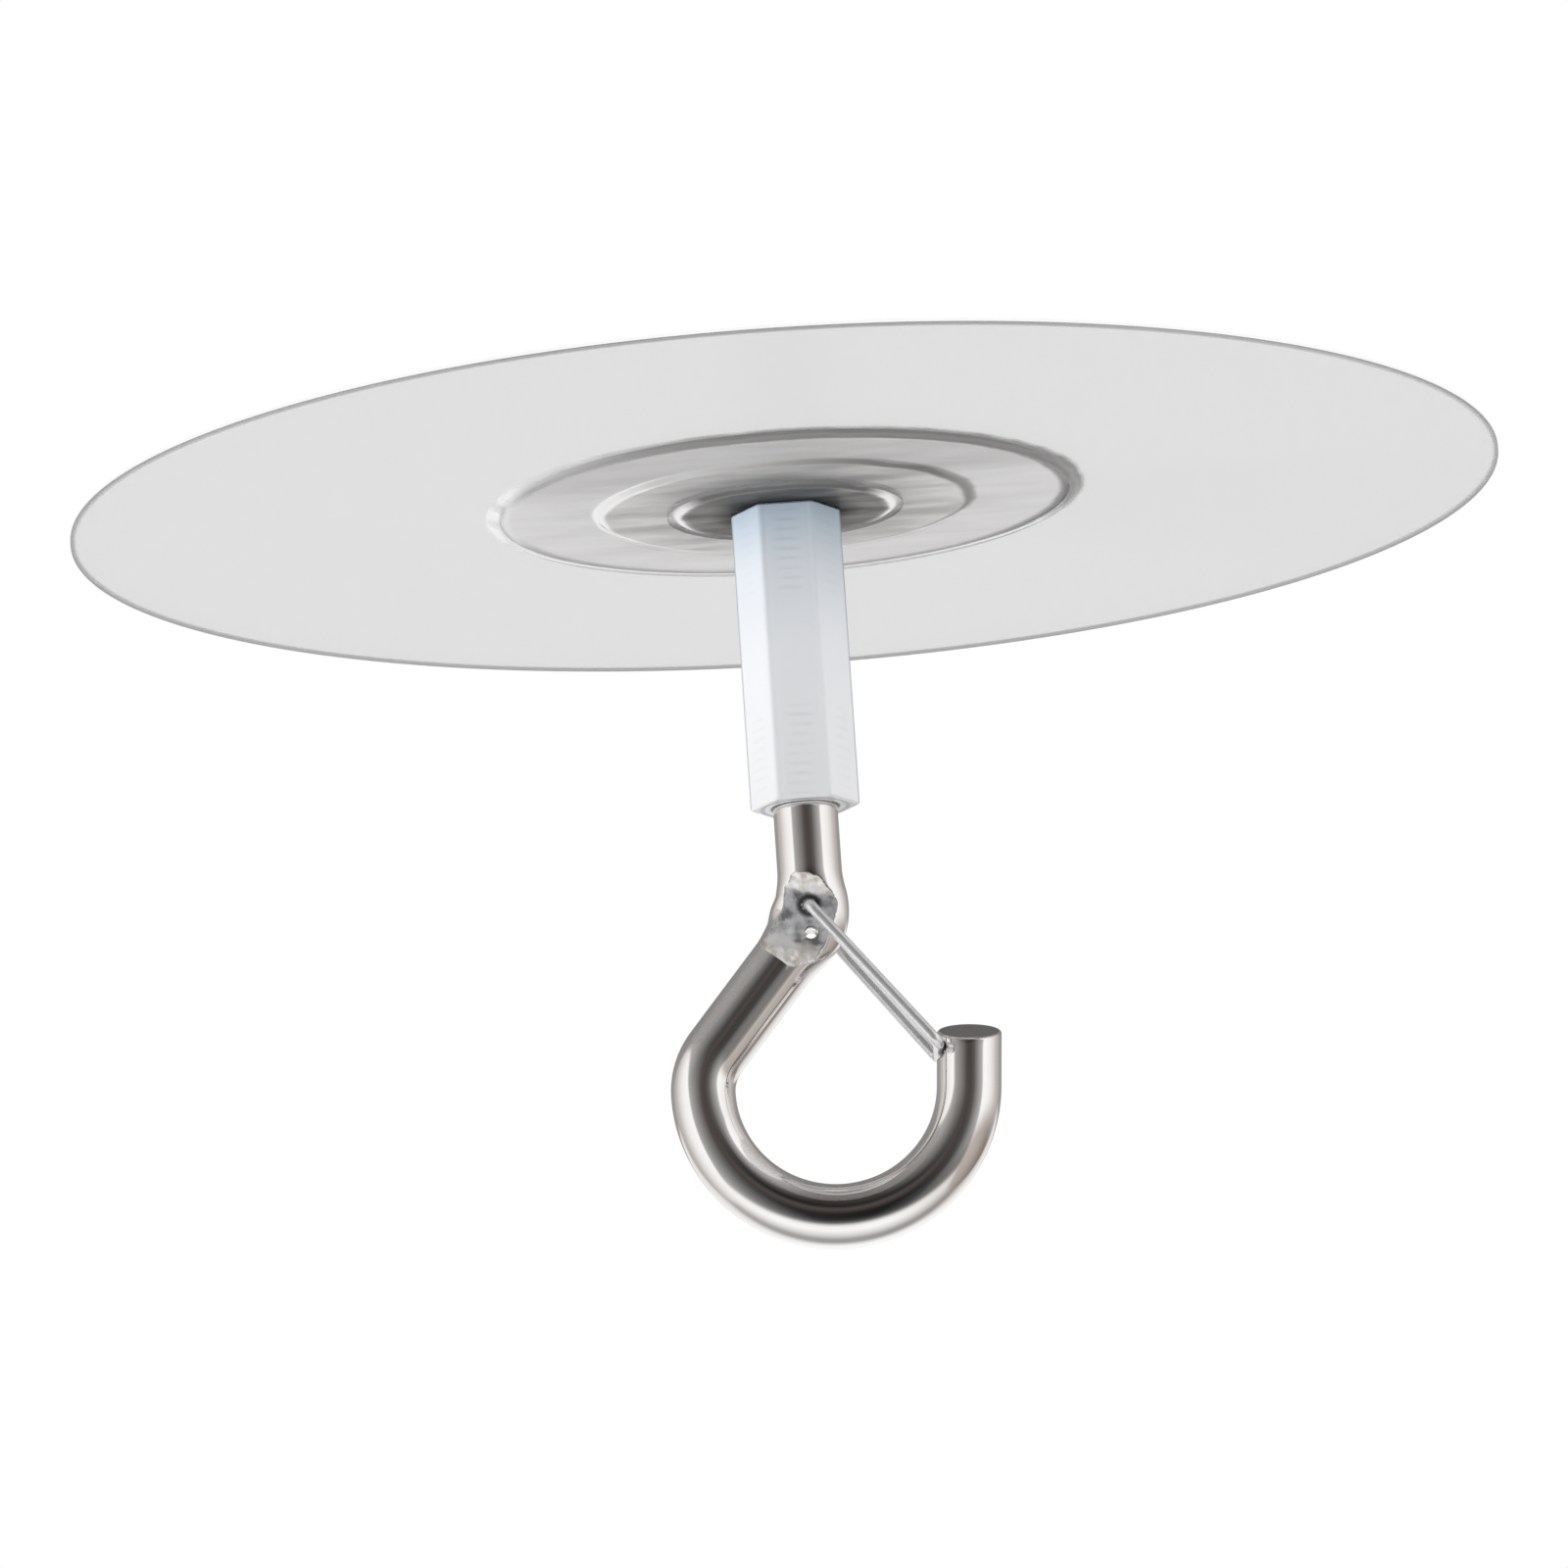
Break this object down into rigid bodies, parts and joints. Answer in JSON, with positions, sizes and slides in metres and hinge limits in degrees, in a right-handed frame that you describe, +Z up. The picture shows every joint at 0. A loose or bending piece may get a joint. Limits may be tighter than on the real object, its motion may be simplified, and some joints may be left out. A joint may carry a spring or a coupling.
{
  "type": "ceiling hook",
  "caption": "Adhesive ceiling hook: a clear film disc over a stepped steel plate, a hexagonal nylon standoff and a round-bar hook closed by a sprung wire gate.",
  "frame": {"origin": "centre of the adhesive face that meets the ceiling", "axes": "+Z up into the ceiling, along the standoff's axis; the hook lies in the XZ plane with its tip towards +X"},
  "size_m": [0.1, 0.1, 0.0538],
  "materials": {
    "clear_adhesive": "clear acrylic gel",
    "clear_film": "clear vinyl, smooth",
    "pressed_steel": "bright pressed stainless sheet",
    "stud_steel": "rolled thread",
    "natural_nylon": "translucent moulded nylon",
    "polished_steel": "polished stainless bar",
    "spring_wire": "bright drawn spring wire"
  },
  "bodies": {
    "hanger": {"adhesive_sheet": "clear_adhesive", "face_film": "clear_film", "base_plate": "pressed_steel", "base_stud": "stud_steel", "hex_standoff": "natural_nylon", "hook": "polished_steel"},
    "gate": {"wire_gate": "spring_wire"}
  },
  "joints": [
    {"name": "gate_swing", "type": "hinge", "parent": "hanger", "child": "gate", "pos_m": [-0.0002, 0, -0.02965], "axis": [0, 1, 0], "range_deg": [0, 42], "stiffness_Nm_per_rad": 0.01, "springref_deg": -17.19}
  ]
}
